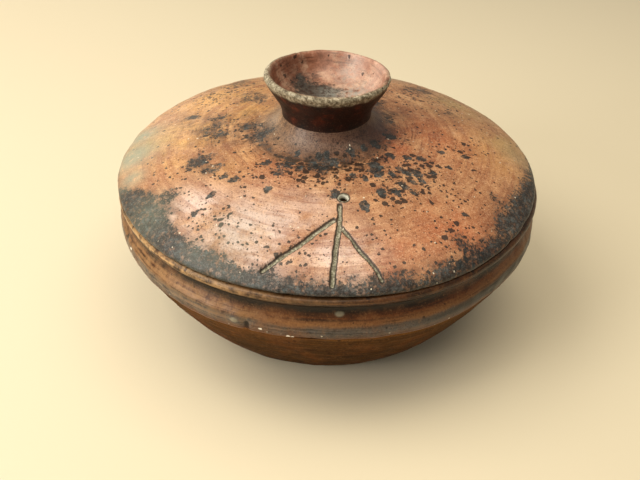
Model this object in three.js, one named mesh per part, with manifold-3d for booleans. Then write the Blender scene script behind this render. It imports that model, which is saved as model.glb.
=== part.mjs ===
// A lidded clay cooking pot: a wide, low pot with a ridged shoulder, and a domed lid with a flared
// cup-shaped knob, a steam vent and three incised lines. Millimetres, +Z up. The origin is the centre of
// the pot's underside, and the steam vent faces -Y.

import * as THREE from "three";
import { mergeVertices } from "three/addons/utils/BufferGeometryUtils.js";
import Module from "manifold-3d";

const wasm = await Module();
wasm.setup();

// Radii are measured from the pot's axis and heights from the table.
const GAP = 0.3; // clearance between two pieces that touch
const at = (radius, height) => ({ radius, height });

// The pot: base and lower wall, then the shoulder band on top of a bevelled join.
const OUTER_FOOT = at(76, 0);
const INNER_FOOT = at(72, 8);
const OUTER_JOIN = at(121.4, 64.5);
const INNER_JOIN = at(111.2, 59.5);
const WALL_BULGE = 0.7; // 1 would be a straight cone
const RIDGE_RADIUS = 122.1;
const RIDGE_LOW = 66.7;
const RIDGE_HIGH = 71;
const GROOVE_PULL = at(115.3, 79.5); // the groove's curve bends towards this point
const RIM_HEIGHT = 88;
const LIP_ROUND = 2.2;
const LIP_CENTRE = at(118.8, RIM_HEIGHT - LIP_ROUND);
const MOUTH_RADIUS = 112.3;
const BELLY_RADIUS = 114.6; // widest line of the inside, behind the ridge

// The lid: its outer and inner surfaces are caps of the same family, one inside the other.
const SEAT_HEIGHT = RIM_HEIGHT + GAP;
const OUTER_CAP = { reach: 120, edge: 90.7, rise: 23.1 };
const INNER_CAP = { reach: 113, edge: SEAT_HEIGHT, rise: 19 };
const CAP_FULLNESS = 0.658; // 0.5 would be an ellipse, 1 a parabola
const SEAT_RADIUS = 117.6; // outer edge of the flat ring that rests on the rim
const FLANGE_OUTER = 110.3;
const FLANGE_INNER = 104.8;
const FLANGE_BOTTOM = 76;
const FLANGE_ROUND = 2;

// The knob: a flared stem with a shallow cup in its top, and a coil smoothed round its foot.
const KNOB_NECK = at(25.4, 123.4);
const KNOB_HEIGHT = 145.8;
const KNOB_LIP_RADIUS = 34.7;
const KNOB_LIP_ROUND = 2.1;
const KNOB_RIM_INNER = 30.9; // inner edge of the flat ring on top of the lip
const KNOB_CUP_FLOOR = at(9, 130.5); // outer edge of the flat middle of the cup
const COIL_FOOT_RADIUS = 42;
const COIL_TOP = at(26.6, 122.6);

// Steam vent and incised lines, placed by radius and by azimuth in degrees from -Y towards +X.
const VENT_PLACE_RADIUS = 66.9;
const VENT_RADIUS = 2.3;
const VENT_FLARE_RADIUS = 3.5;
const VENT_FLARE_DEPTH = 1.2;
const LINE_WIDTH = 3.6;
const LINE_DEPTH = 1.4;
const INCISED_LINES = [
  [[71.5, -1.7], [86, -3], [101, -4.6], [116, -5.6]],
  [[84, -5.2], [88.5, -9.7], [96.4, -14.4], [112.4, -22.1]],
  [[86.5, -2], [95, 0.7], [104, 3.5], [115.4, 6]],
];

const TURN_STEPS = 60; // facets round the axis
const CURVE_STEPS = 3; // facets along each arc or curve of an outline
const CAP_STEPS = 10;
const WALL_STEPS = 7;
const LINE_STEPS = 10;
const LINE_SIDES = 4; // facets on each half of an incised line's round section

// Height of a cap's surface at a radius.
function capHeight(cap, radius) {
  return cap.edge + cap.rise * (1 - (radius / cap.reach) ** 2) ** CAP_FULLNESS;
}

// Points of a cap's outline from its centre to its edge, closer together towards the edge.
function capOutline(cap) {
  return Array.from({ length: CAP_STEPS + 1 }, (_, i) => {
    const angle = (Math.PI / 2) * (i / CAP_STEPS);
    const height = cap.edge + cap.rise * Math.cos(angle) ** (2 * CAP_FULLNESS);
    return new THREE.Vector2(cap.reach * Math.sin(angle), i < CAP_STEPS ? height : cap.edge);
  });
}

// Points of a bulging wall from its foot to its join, closer together towards the foot.
function wallOutline(foot, join) {
  return Array.from({ length: WALL_STEPS + 1 }, (_, i) => {
    const rise = (i / WALL_STEPS) ** 2;
    return new THREE.Vector2(
      THREE.MathUtils.lerp(foot.radius, join.radius, rise ** WALL_BULGE),
      THREE.MathUtils.lerp(foot.height, join.height, rise),
    );
  });
}

function lineThrough(outline, points) {
  points.forEach((point) => outline.lineTo(point.x, point.y));
}

// The solid that a closed outline of radius and height sweeps round the Z axis.
function turned(outline) {
  const points = outline.getPoints(CURVE_STEPS);
  return new THREE.LatheGeometry(points, TURN_STEPS).rotateX(Math.PI / 2);
}

function bowlBody() {
  const outline = new THREE.Path();
  outline.moveTo(0, 0);
  lineThrough(outline, wallOutline(OUTER_FOOT, OUTER_JOIN));
  lineThrough(outline, wallOutline(INNER_FOOT, INNER_JOIN).reverse());
  outline.lineTo(0, INNER_FOOT.height);
  return turned(outline);
}

function shoulderBand() {
  const outline = new THREE.Path();
  outline.moveTo(INNER_JOIN.radius, INNER_JOIN.height + GAP);
  outline.lineTo(OUTER_JOIN.radius, OUTER_JOIN.height + GAP);
  outline.lineTo(RIDGE_RADIUS, RIDGE_LOW);
  outline.lineTo(RIDGE_RADIUS, RIDGE_HIGH);
  outline.quadraticCurveTo(
    GROOVE_PULL.radius, GROOVE_PULL.height,
    LIP_CENTRE.radius + LIP_ROUND / 2, LIP_CENTRE.height - LIP_ROUND * 0.87,
  );
  outline.absarc(LIP_CENTRE.radius, LIP_CENTRE.height, LIP_ROUND, -Math.PI / 3, Math.PI / 2, false);
  outline.lineTo(MOUTH_RADIUS + LIP_ROUND, RIM_HEIGHT);
  outline.quadraticCurveTo(MOUTH_RADIUS, RIM_HEIGHT, MOUTH_RADIUS, RIM_HEIGHT - LIP_ROUND);
  outline.quadraticCurveTo(BELLY_RADIUS, RIDGE_HIGH, INNER_JOIN.radius, INNER_JOIN.height + GAP);
  return turned(outline);
}

function lidCap() {
  const outline = new THREE.Path();
  outline.moveTo(0, capHeight(INNER_CAP, 0));
  lineThrough(outline, capOutline(INNER_CAP));
  outline.lineTo(SEAT_RADIUS, SEAT_HEIGHT);
  outline.quadraticCurveTo(OUTER_CAP.reach, SEAT_HEIGHT, OUTER_CAP.reach, OUTER_CAP.edge);
  lineThrough(outline, capOutline(OUTER_CAP).reverse());
  return turned(outline);
}

function lidFlange() {
  const outline = new THREE.Path();
  outline.moveTo(FLANGE_INNER, capHeight(INNER_CAP, FLANGE_INNER) - GAP);
  outline.lineTo(FLANGE_INNER, FLANGE_BOTTOM);
  outline.lineTo(FLANGE_OUTER - FLANGE_ROUND, FLANGE_BOTTOM);
  outline.quadraticCurveTo(FLANGE_OUTER, FLANGE_BOTTOM, FLANGE_OUTER, FLANGE_BOTTOM + FLANGE_ROUND);
  outline.lineTo(FLANGE_OUTER, capHeight(INNER_CAP, FLANGE_OUTER) - GAP);
  outline.closePath();
  return turned(outline);
}

// Height at which a piece standing on the lid begins.
const lidTop = (radius) => capHeight(OUTER_CAP, radius) + GAP;

// The coil's outer face is one hollow sweep from the lid up to the knob's neck.
function knobLutingCoil() {
  const inside = KNOB_NECK.radius + GAP;
  const outline = new THREE.Path();
  outline.moveTo(inside, lidTop(inside));
  outline.lineTo(COIL_FOOT_RADIUS, lidTop(COIL_FOOT_RADIUS));
  outline.quadraticCurveTo(COIL_TOP.radius + 1, lidTop(inside), COIL_TOP.radius, COIL_TOP.height);
  outline.lineTo(inside, COIL_TOP.height);
  outline.closePath();
  return turned(outline);
}

function flaredKnob() {
  const lipCentre = at(KNOB_LIP_RADIUS - KNOB_LIP_ROUND, KNOB_HEIGHT - KNOB_LIP_ROUND);
  const outline = new THREE.Path();
  outline.moveTo(0, lidTop(0));
  outline.lineTo(KNOB_NECK.radius, lidTop(KNOB_NECK.radius));
  outline.lineTo(KNOB_NECK.radius, KNOB_NECK.height);
  outline.bezierCurveTo(
    KNOB_NECK.radius, KNOB_NECK.height + 7,
    lipCentre.radius, lipCentre.height - 9,
    lipCentre.radius + KNOB_LIP_ROUND * 0.87, lipCentre.height - KNOB_LIP_ROUND / 2,
  );
  outline.absarc(lipCentre.radius, lipCentre.height, KNOB_LIP_ROUND, -Math.PI / 6, Math.PI / 2, false);
  outline.lineTo(KNOB_RIM_INNER, KNOB_HEIGHT);
  outline.bezierCurveTo(
    KNOB_RIM_INNER - 3, KNOB_HEIGHT - 7,
    KNOB_CUP_FLOOR.radius + 12, KNOB_CUP_FLOOR.height,
    KNOB_CUP_FLOOR.radius, KNOB_CUP_FLOOR.height,
  );
  outline.lineTo(0, KNOB_CUP_FLOOR.height);
  return turned(outline);
}

// A closed three.js geometry as a manifold-3d solid, without its zero-area triangles.
function solidFrom(geometry) {
  const bare = new THREE.BufferGeometry();
  bare.setAttribute("position", geometry.getAttribute("position"));
  bare.setIndex(geometry.getIndex());
  const merged = mergeVertices(bare, 1e-3);
  const corners = merged.getIndex().array;
  const triangles = [];
  for (let i = 0; i < corners.length; i += 3) {
    const [a, b, c] = corners.subarray(i, i + 3);
    if (a !== b && b !== c && c !== a) triangles.push(a, b, c);
  }
  return new wasm.Manifold(
    new wasm.Mesh({
      numProp: 3,
      vertProperties: merged.getAttribute("position").array,
      triVerts: new Uint32Array(triangles),
    }),
  );
}

function geometryFrom(solid) {
  const mesh = solid.getMesh();
  const geometry = new THREE.BufferGeometry();
  geometry.setAttribute("position", new THREE.BufferAttribute(mesh.vertProperties, 3));
  geometry.setIndex(new THREE.BufferAttribute(mesh.triVerts, 1));
  geometry.computeVertexNormals();
  return geometry;
}

// The outward normal of the lid's top at a radius and azimuth.
function lidNormal(radius, azimuth) {
  const { reach, rise } = OUTER_CAP;
  const flatness = (1 - (radius / reach) ** 2) ** (CAP_FULLNESS - 1);
  const slope = (2 * rise * CAP_FULLNESS * radius * flatness) / reach ** 2;
  return new THREE.Vector3(slope * Math.sin(azimuth), -slope * Math.cos(azimuth), 1).normalize();
}

// A point on the lid's top, lifted off the surface along its normal.
function lidPoint(radius, azimuthDegrees, lift) {
  const azimuth = THREE.MathUtils.degToRad(azimuthDegrees);
  const height = capHeight(OUTER_CAP, radius);
  const foot = new THREE.Vector3(radius * Math.sin(azimuth), -radius * Math.cos(azimuth), height);
  return foot.addScaledVector(lidNormal(radius, azimuth), lift);
}

// A round rod along an incised line, sunk until it cuts the stated width and depth.
function lineCutter(places) {
  const rodRadius = ((LINE_WIDTH / 2) ** 2 + LINE_DEPTH ** 2) / (2 * LINE_DEPTH);
  const lift = rodRadius - LINE_DEPTH;
  const points = places.map(([radius, azimuth]) => lidPoint(radius, azimuth, lift));
  return new THREE.ExtrudeGeometry(new THREE.Shape().absarc(0, 0, rodRadius, 0, 2 * Math.PI), {
    extrudePath: new THREE.CatmullRomCurve3(points),
    steps: LINE_STEPS,
    curveSegments: LINE_SIDES,
  });
}

// A straight hole through the lid with a flared mouth.
function ventCutter() {
  const outline = new THREE.Path();
  outline.moveTo(0, -20);
  outline.lineTo(VENT_RADIUS, -20);
  outline.lineTo(VENT_RADIUS, -VENT_FLARE_DEPTH);
  outline.lineTo(VENT_FLARE_RADIUS, 0);
  outline.lineTo(VENT_FLARE_RADIUS + 1, 1);
  outline.lineTo(0, 1);
  const upright = new THREE.Quaternion().setFromUnitVectors(
    new THREE.Vector3(0, 0, 1),
    lidNormal(VENT_PLACE_RADIUS, 0),
  );
  const mouth = lidPoint(VENT_PLACE_RADIUS, 0, 0);
  const hole = new THREE.LatheGeometry(outline.getPoints(), 16).rotateX(Math.PI / 2);
  return hole.applyQuaternion(upright).translate(mouth.x, mouth.y, mouth.z);
}

function lidDome() {
  const cutters = [ventCutter(), ...INCISED_LINES.map(lineCutter)];
  const cut = cutters.reduce((solid, cutter) => solid.subtract(solidFrom(cutter)), solidFrom(lidCap()));
  return geometryFrom(cut);
}

function piece(name, geometry, color, roughness) {
  const material = new THREE.MeshStandardMaterial({ color, roughness, metalness: 0 });
  const mesh = new THREE.Mesh(geometry, material);
  mesh.name = name;
  return mesh;
}

const pot = new THREE.Group().add(
  piece("bowl_body", bowlBody(), 0x4a3426, 0.6),
  piece("shoulder_band", shoulderBand(), 0x7d5439, 0.5),
);
const lid = new THREE.Group().add(
  piece("lid_dome", lidDome(), 0xa76e4c, 0.42),
  piece("lid_flange", lidFlange(), 0x8a6048, 0.75),
  piece("knob_luting_coil", knobLutingCoil(), 0x5c3a2e, 0.45),
  piece("flared_knob", flaredKnob(), 0x6d4434, 0.42),
);

export default new THREE.Group().add(pot, lid);
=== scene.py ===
"""A lidded clay cooking pot: the fired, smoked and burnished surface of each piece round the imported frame."""
import math

import bpy
import numpy as np
from mathutils import Matrix, Vector


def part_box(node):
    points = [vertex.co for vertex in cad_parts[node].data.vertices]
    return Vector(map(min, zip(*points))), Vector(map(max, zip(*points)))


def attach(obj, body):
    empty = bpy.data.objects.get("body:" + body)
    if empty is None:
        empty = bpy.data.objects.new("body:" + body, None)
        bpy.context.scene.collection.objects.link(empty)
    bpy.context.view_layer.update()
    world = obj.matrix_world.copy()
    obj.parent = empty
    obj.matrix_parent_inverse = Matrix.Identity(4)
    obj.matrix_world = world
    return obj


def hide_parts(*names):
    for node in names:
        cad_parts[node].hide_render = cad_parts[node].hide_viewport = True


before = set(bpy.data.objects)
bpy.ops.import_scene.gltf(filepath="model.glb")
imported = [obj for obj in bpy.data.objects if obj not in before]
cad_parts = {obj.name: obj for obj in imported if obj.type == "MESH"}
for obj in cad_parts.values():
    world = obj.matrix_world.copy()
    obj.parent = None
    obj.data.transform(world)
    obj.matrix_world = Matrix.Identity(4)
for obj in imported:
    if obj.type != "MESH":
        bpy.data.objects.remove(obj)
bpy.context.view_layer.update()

MM = 0.001

# Sizes that the frame gives, in metres. Radii are measured from the pot's axis, heights from the table.
BOWL_LOW, BOWL_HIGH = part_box("bowl_body")
BAND_LOW, BAND_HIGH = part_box("shoulder_band")
LID_LOW, LID_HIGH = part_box("lid_dome")
FLANGE_LOW, FLANGE_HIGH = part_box("lid_flange")
COIL_LOW, COIL_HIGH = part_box("knob_luting_coil")
KNOB_LOW, KNOB_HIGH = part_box("flared_knob")

JOIN_RADIUS, JOIN_HEIGHT = BOWL_HIGH.x, BOWL_HIGH.z
JOIN_INNER = (JOIN_RADIUS - 10.2 * MM, JOIN_HEIGHT - 5 * MM)
GAP = LID_LOW.z - BAND_HIGH.z
FOOT_RADIUS = 76 * MM
FLOOR_THICKNESS = 8 * MM
WALL_BULGE = 0.7  # 1 would be a straight cone
RIDGE_RADIUS = BAND_HIGH.x
RIM_HEIGHT = BAND_HIGH.z
LIP_ROUND = 2.2 * MM
LIP_RADIUS = RIDGE_RADIUS - 3.3 * MM
MOUTH_RADIUS = 112.3 * MM

LID_RADIUS = LID_HIGH.x
LID_EDGE = LID_LOW.z + 2.4 * MM
CAP_FULLNESS = 0.658  # 0.5 would be an ellipse, 1 a parabola
OUTER_CAP = (LID_RADIUS, LID_EDGE, LID_HIGH.z - LID_EDGE)
INNER_CAP = (LID_RADIUS - 7 * MM, LID_LOW.z, LID_HIGH.z - 6.5 * MM - LID_LOW.z)

KNOB_LIP = KNOB_HIGH.x
KNOB_TOP = KNOB_HIGH.z
KNOB_LIP_ROUND = 2.1 * MM
KNOB_NECK = 25.4 * MM
KNOB_NECK_HEIGHT = KNOB_TOP - 22.4 * MM
KNOB_CUP_FLOOR = KNOB_TOP - 15.3 * MM
COIL_FOOT = COIL_HIGH.x


# Outlines: points of (radius, height), with the clay on the left of the way they run.

def line(start, end, steps=1):
    return np.linspace(start, end, steps + 1)


def bezier(start, pull_start, pull_end, end, steps=16):
    t = np.linspace(0, 1, steps + 1)[:, None]
    s = 1 - t
    points = [np.asarray(p, float) for p in (start, pull_start, pull_end, end)]
    return s**3 * points[0] + 3 * s**2 * t * points[1] + 3 * s * t**2 * points[2] + t**3 * points[3]


def cap_height(cap, radius):
    reach, edge, rise = cap
    return edge + rise * np.maximum(1 - (radius / reach) ** 2, 0) ** CAP_FULLNESS


def cap_outline(cap, steps=160):
    """A cap's surface from its centre to its edge."""
    reach, edge, rise = cap
    angle = np.linspace(0, math.pi / 2, steps + 1)
    height = edge + rise * np.maximum(np.cos(angle), 0) ** (2 * CAP_FULLNESS)
    return np.column_stack([reach * np.sin(angle), height])


def wall_outline(foot, join, steps=120):
    """A bulging wall from its foot to its join."""
    rise = np.linspace(0, 1, steps + 1) ** 2
    radius = foot[0] + (join[0] - foot[0]) * rise**WALL_BULGE
    return np.column_stack([radius, foot[1] + (join[1] - foot[1]) * rise])


def evenly(stretches, spacing):
    """One outline through all the stretches, with its points about a spacing apart."""
    points = np.vstack(stretches)
    steps = np.hypot(*np.diff(points, axis=0).T)
    points = points[np.append(True, steps > 1e-7)]
    along = np.append(0, np.cumsum(np.hypot(*np.diff(points, axis=0).T)))
    at = np.linspace(0, along[-1], max(8, round(along[-1] / spacing)) + 1)
    return np.column_stack([np.interp(at, along, points[:, 0]), np.interp(at, along, points[:, 1])])


# Relief: how far each point of a surface is pushed out along its normal, in metres.

def smooth(value, low, high):
    """0 at low, 1 at high, with a smooth rise between."""
    t = np.clip((value - low) / (high - low), 0, 1)
    return t * t * (3 - 2 * t)


def hump(value, centre, width):
    return np.exp(-(((value - centre) / width) ** 2))


def rolling(points, wavelength, seed, waves=28):
    """Smooth seeded noise of about unit spread, with its lumps a wavelength apart."""
    random = np.random.default_rng(seed)
    ways = random.normal(size=(waves, 3))
    ways *= (random.uniform(0.75, 1.3, waves) / np.linalg.norm(ways, axis=1))[:, None]
    phases = random.uniform(0, 2 * math.pi, waves)
    return np.cos(points @ ways.T * (2 * math.pi / wavelength) + phases).sum(1) * math.sqrt(2 / waves)


def angle_between(azimuth, centre):
    """Signed degrees from centre to azimuth, the short way round."""
    return (azimuth - centre + 180) % 360 - 180


def hand_made(points, seed):
    """The slow wobble and the finer unevenness of a wall that was shaped by hand."""
    slow = 0.32 * MM * rolling(points, 95 * MM, seed)
    fine = 0.09 * MM * rolling(points, 17 * MM, seed + 1)
    return slow + fine + 0.03 * MM * rolling(points, 6 * MM, seed + 2)


class Surface:
    """A surface of revolution before its relief: its points, their normals and their places."""

    def __init__(self, outline, azimuths):
        self.poles = outline[0, 0] < 1e-6
        ring = outline if self.poles else np.vstack([outline[-2], outline])
        ahead = ring[2:] - ring[:-2]
        ahead /= np.hypot(*ahead.T)[:, None]
        rows = ring[1:-1]
        turn = np.radians(azimuths)
        self.shape = len(rows), len(azimuths)
        self.radius = np.repeat(rows[:, 0], len(azimuths))
        self.height = np.repeat(rows[:, 1], len(azimuths))
        self.azimuth = np.tile(azimuths, len(rows))
        ways = np.tile(np.column_stack([np.sin(turn), -np.cos(turn)]), (len(rows), 1))
        self.points = np.column_stack([ways * self.radius[:, None], self.height])
        out = np.repeat(ahead[:, 1], len(azimuths))
        up = np.repeat(-ahead[:, 0], len(azimuths))
        self.normals = np.column_stack([ways * out[:, None], up])

    def mesh(self, name, relief):
        """The closed mesh of this surface, with each point pushed out along its normal by its relief."""
        points = self.points + self.normals * relief[:, None]
        grid = np.arange(len(points)).reshape(self.shape)
        above = grid[1:] if self.poles else np.roll(grid, -1, 0)
        below = grid[:-1] if self.poles else grid
        quads = np.stack([below, np.roll(below, -1, 1), np.roll(above, -1, 1), above], -1)
        faces = quads.reshape(-1, 4).tolist()
        if self.poles:
            first, last = len(points), len(points) + 1
            points = np.vstack([points, points[grid[0]].mean(0), points[grid[-1]].mean(0)])
            faces += [(first, b, a) for a, b in zip(grid[0], np.roll(grid[0], -1))]
            faces += [(last, a, b) for a, b in zip(grid[-1], np.roll(grid[-1], -1))]
        made = bpy.data.meshes.new(name)
        made.from_pydata(points.tolist(), [], faces)
        return made


def piece(name, mesh, body, node, material):
    """Shows a finished mesh in place of a CAD node, riding on its body."""
    made = bpy.data.objects.new(name, mesh)
    bpy.context.scene.collection.objects.link(made)
    mesh.materials.append(material)
    mesh.shade_smooth()
    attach(made, body)
    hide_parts(node)
    return made


def give(mesh, **fields):
    """Stores named values on a mesh's points for its material, from functions of plan place."""
    points = np.zeros(len(mesh.vertices) * 3)
    mesh.vertices.foreach_get("co", points)
    points = points.reshape(-1, 3)
    radius = np.hypot(points[:, 0], points[:, 1])
    azimuth = np.degrees(np.arctan2(points[:, 0], -points[:, 1]))
    for name, field in fields.items():
        values = field(points, radius, azimuth).astype(np.float32)
        mesh.attributes.new(name, "FLOAT", "POINT").data.foreach_set("value", values)


# Where things lie on the lid, as (radius in millimetres, azimuth in degrees from -Y towards +X, ...).

VENT_RADIUS = 66.9 * MM
VENT_HOLE = 2.3 * MM
LINE_DEPTH = 1.2 * MM
INCISED_LINES = [  # half width in millimetres, then places along the line
    (1.5, [(71.5, -1.7), (86, -3), (101, -4.6), (116, -5.6)]),
    (1.6, [(81.6, -4.8), (88, -9.7), (96.4, -14.4), (112.4, -22.1)]),
    (1.1, [(86.5, -2), (95, 0.7), (104, 3.5), (111.7, 5.3), (115.4, 6)]),
]

SOOT_EDGE = [  # azimuth, and the radius in millimetres where the sooty edge begins
    (-160, 114), (-135, 117), (-110, 123), (-80, 122), (-73, 111), (-68, 106), (-62, 106), (-56, 105.5),
    (-49, 108.5), (-44, 111.5), (-37, 111), (-30, 112.5), (-23, 113.5), (-15, 112.5), (-8, 115.5), (0, 114),
    (8, 113.5), (14, 115.5), (21, 116), (28, 114.5), (35, 114.5), (43, 112.5), (48, 108.5), (55, 108),
    (62, 110), (69, 113), (80, 118), (92, 123), (110, 119), (135, 114), (160, 110), (180, 112),
]
SOOT_BLOTS = [  # compact spots: radius, azimuth, size in millimetres, cover
    (47.5, 25.5, 4, 1), (52.5, 22.5, 3.6, 1), (44.5, 42.5, 2.8, 0.9), (51.8, 49, 2.6, 0.9), (58.4, 54, 2.8, 0.9),
    (63.5, 41, 2.8, 0.9), (66.7, 29, 3, 0.9), (66.8, 17.4, 3, 0.9), (69.5, 23.5, 2.8, 0.9), (74, 7.6, 3.1, 1),
    (63.5, -3.3, 3.2, 0.9), (33, 44, 3.4, 0.9), (36.2, 67, 3.4, 0.9), (33.5, -8, 2.3, 1), (39, -2, 3.2, 0.9),
    (42, -8.5, 3, 0.85), (36, -14.3, 2.8, 0.85), (43, -17, 3.4, 0.9), (46, -26, 2.6, 0.85), (45, -34, 3.2, 0.85),
    (32.9, 15.4, 2.6, 0.9), (36, -33.8, 2.4, 0.8), (32.8, 29.6, 2.5, 0.9), (56.7, 29.6, 2.2, 0.9),
    (60.2, 36.7, 2.4, 0.9), (55.3, 36.4, 2.2, 0.9), (68.7, 38.7, 2.2, 0.9), (67.4, 35, 2, 0.9),
    (73.3, 30.3, 2.6, 0.8), (69, 47.5, 2, 0.9), (65.5, 66.3, 2, 0.9), (73.9, 56.5, 1.9, 0.9), (79.2, 69, 2.2, 0.9),
    (98, 38.6, 1.9, 0.9), (50.9, 8, 2.1, 0.9), (54.6, 13.8, 2.1, 0.9), (54, -35.5, 2.8, 0.9), (50, -47.5, 2.8, 0.9),
    (66.5, -34, 2.8, 0.9), (70.5, -51, 3, 0.9), (72, -56, 2.6, 0.85), (85, -51, 2.6, 0.85), (99, -49, 2.6, 0.85),
]
SOOT_CLOUDS = [  # broken patches: radius, azimuth, size in millimetres, cover
    (72.5, -64, 6, 0.6), (76.5, -73, 8, 0.66), (44, -98, 8, 0.62), (39.5, -81, 8, 0.68), (65, -101, 9, 0.6),
    (61, -92, 8, 0.56), (70, -110, 9, 0.58), (85.5, -111, 6, 0.64), (63, -138, 11, 0.6), (101, -151, 9, 0.55),
    (94, 133, 11, 0.55), (82, 108, 8, 0.45), (45, 130, 9, 0.55), (75, 165, 12, 0.55), (90, -170, 10, 0.55),
    (112, -20, 6, 0.6), (110, 30, 7, 0.62), (106, 52, 8, 0.6), (103, -62, 8, 0.6), (46, -12, 7, 0.55),
    (48, -36, 9, 0.5),
]
# The ring at 37 mm and azimuth 100 is the knob's painted shadow.
SOOT_RINGS = [  # radius and width in millimetres, azimuth and half spread in degrees, cover
    (41, 5, -78, 34, 0.56), (37.5, 4, -12, 40, 0.52), (38, 4, 45, 26, 0.45), (67, 5, -97, 20, 0.5),
    (37, 5, 100, 26, 0.5),
]
SMOKE_PATCHES = [  # soft dark clouds of smoke, and at 40 mm and 110 degrees the knob's painted shadow: radius, azimuth, size in millimetres, share
    (66, -95, 18, 0.9), (80, -104, 15, 0.7), (45, -85, 15, 1), (47, -112, 14, 0.8), (74, -68, 11, 0.8),
    (44, 26, 14, 0.7), (57, 34, 17, 0.4), (42, -12, 13, 0.75), (62, 0, 9, 0.5), (80, 105, 20, 0.35),
    (40, 110, 12, 1), (44, 150, 20, 0.7), (41, -37, 6, 0.9), (39, -20, 6, 0.9), (39, 2, 6, 0.8), (37, 30, 6, 0.8), (95, 130, 18, 0.45), (100, -150, 20, 0.5), (62, -140, 14, 0.6),
]
FLECK_PATCHES = [  # where small spots crowd
    (56, 36, 17, 1), (68, 24, 13, 1), (62, 48, 13, 0.85), (76, 38, 15, 0.5), (48, -18, 14, 0.9),
    (44, 4, 14, 1), (100, -14, 18, 0.4), (95, 12, 18, 0.25), (62, -92, 20, 0.4), (96, -42, 18, 0.45),
    (54, -40, 13, 0.55), (78, 70, 18, 0.4), (75, 130, 30, 0.5), (84, -66, 14, 0.4), (114, 30, 22, 0.5),
    (112, -20, 20, 0.45), (90, -140, 24, 0.55),
]
# Pink clay, brightened on the lid's front left into a painted sheen.
PINK_PATCHES = [
    (98, -30, 26, 1), (104, -4, 18, 0.8), (84, -20, 20, 0.6), (96, -50, 17, 1), (72, -10, 14, 0.4),
    (110, -36, 13, 1), (111, -20, 11, 0.9),
]
AMBER_PATCHES = [(84, -92, 28, 1), (60, -118, 26, 0.9), (66, -62, 18, 0.4), (88, -135, 32, 1), (100, 80, 24, 0.5)]
# Rust red near the right edge and round the knob; right of the knob it stands partly for painted shade.
RUST_PATCHES = [(106, 30, 20, 1), (104, 14, 10, 0.7), (113, 8, 9, 0.7), (58, 82, 26, 0.7), (50, -36, 15, 0.4), (38, 60, 20, 1)]
# Olive tint on the right, and on the far left a grey-green part of the painted sheen.
OLIVE_PATCHES = [(108, 88, 16, 0.7), (98, 115, 24, 0.8), (108, -96, 20, 0.8), (80, 110, 18, 0.4)]
BLOOM_PATCHES = [  # painted sheen: a pale grey-green reflection over clay and soot alike
    (112, -91, 14, 1), (113, -104, 11, 1), (112, -79, 8, 0.8), (111, -60, 15, 0.3), (112, -40, 10, 0.22),
    (100, -34, 18, 0.3), (112, 80, 12, 0.3), (113, 150, 16, 0.5),
]
STROKE_PATCHES = [(54, -22, 13, 1), (50, -62, 12, 0.7), (48, 75, 14, 0.9), (42, -100, 14, 0.6)]


# Where things lie in the knob's cup, in the same way.

CUP_SOOT = [(15, -135, 12, 1), (10, -160, 11, 1), (9, -60, 14, 1), (10, 170, 10, 0.9), (25, -145, 5, 0.6)]
# Painted shade on the cup's left wall, away from the lamps.
CUP_SMOKE = [(26, -95, 15, 0.7), (26, -140, 11, 0.9), (28, -50, 14, 0.8)]
# A painted highlight on the cup's right wall.
CUP_PINK = [(27, 105, 11, 1), (27, 140, 10, 1), (27, 175, 7, 0.5)]
# A painted sheen: a pale reflection on the cup's floor.
CUP_BLOOM = [(13, 105, 10, 1), (8, 165, 7, 0.7), (24, 148, 9, 0.4)]


def plan(radius, azimuth):
    """X and Y of a place given by radius in millimetres and azimuth."""
    turn = math.radians(azimuth)
    return np.array([radius * MM * math.sin(turn), -radius * MM * math.cos(turn)])


def away_from(points, radius, azimuth):
    """Distance over the plan from each point to a place."""
    return np.hypot(*(points[:, :2] - plan(radius, azimuth)).T)


def line_cut(points):
    """How deep the incised lines cut, as a share of their full depth; below 0 on their raised edges."""
    cut = np.zeros(len(points))
    uneven = 1 + 0.07 * rolling(points, 6 * MM, 31)
    shift = 0.14 * MM * rolling(points, 12 * MM, 32)
    for half_width, places in INCISED_LINES:
        corners = [plan(*place) for place in places]
        for start, end in zip(corners, corners[1:]):
            run = end - start
            share = np.clip(((points[:, :2] - start) @ run) / (run @ run), 0, 1)
            off = points[:, :2] + shift[:, None] - start - share[:, None] * run
            beside = np.hypot(*off.T) / (half_width * MM * uneven)
            hollow = np.maximum(1 - beside**2, 0) ** 0.8
            edge = -0.14 * hump(beside, 1.3, 0.3)
            cut = np.where(hollow > 0, np.maximum(cut, hollow), np.where(cut > 0, cut, np.minimum(cut, edge)))
    return cut


def soot_edge(azimuth):
    """The radius where the lid's sooty edge begins."""
    azimuths, radii = zip(*SOOT_EDGE)
    return np.interp(azimuth, azimuths, radii, period=360) * MM


def patches(points, places, stretch=1.0):
    """The strongest of some soft patches at each point, each stretched along the radius."""
    found = np.zeros(len(points))
    for radius, azimuth, size, share in places:
        off = points[:, :2] - plan(radius, azimuth)
        along = off @ plan(1 / MM, azimuth)
        across = (off**2).sum(1) - along**2
        found = np.maximum(found, share * np.exp(-((along / stretch) ** 2 + across) / (size * MM) ** 2))
    return found


def lid_soot(points, radius, azimuth):
    """The share of the lid's top that soot covers, with the knob's painted shadow on its right as one ring."""
    edge = soot_edge(azimuth)
    cover = 0.72 * smooth(radius, edge - 9 * MM, edge + 6 * MM) + 0.2 * smooth(radius, edge, edge + 9 * MM)
    for middle, width, centre, spread, share in SOOT_RINGS:
        ring = hump(radius, middle * MM, width * MM) * hump(angle_between(azimuth, centre), 0, spread)
        cover = np.maximum(cover, share * ring)
    return np.maximum(cover, patches(points, SOOT_CLOUDS, 1.4))


def lid_smoke(points, radius, azimuth):
    """How far thin smoke darkens the clay: round the soot, at the knob's foot and in clouds; the cloud right of the
    knob is its painted shadow.
    """
    edge = soot_edge(azimuth)
    ring = 1.5 * hump(radius, 42 * MM, 3.5 * MM) * hump(angle_between(azimuth, -18), 0, 48)
    return np.maximum(0.75 * smooth(radius, edge - 9 * MM, edge + 6 * MM), ring + patches(points, SMOKE_PATCHES))


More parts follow.
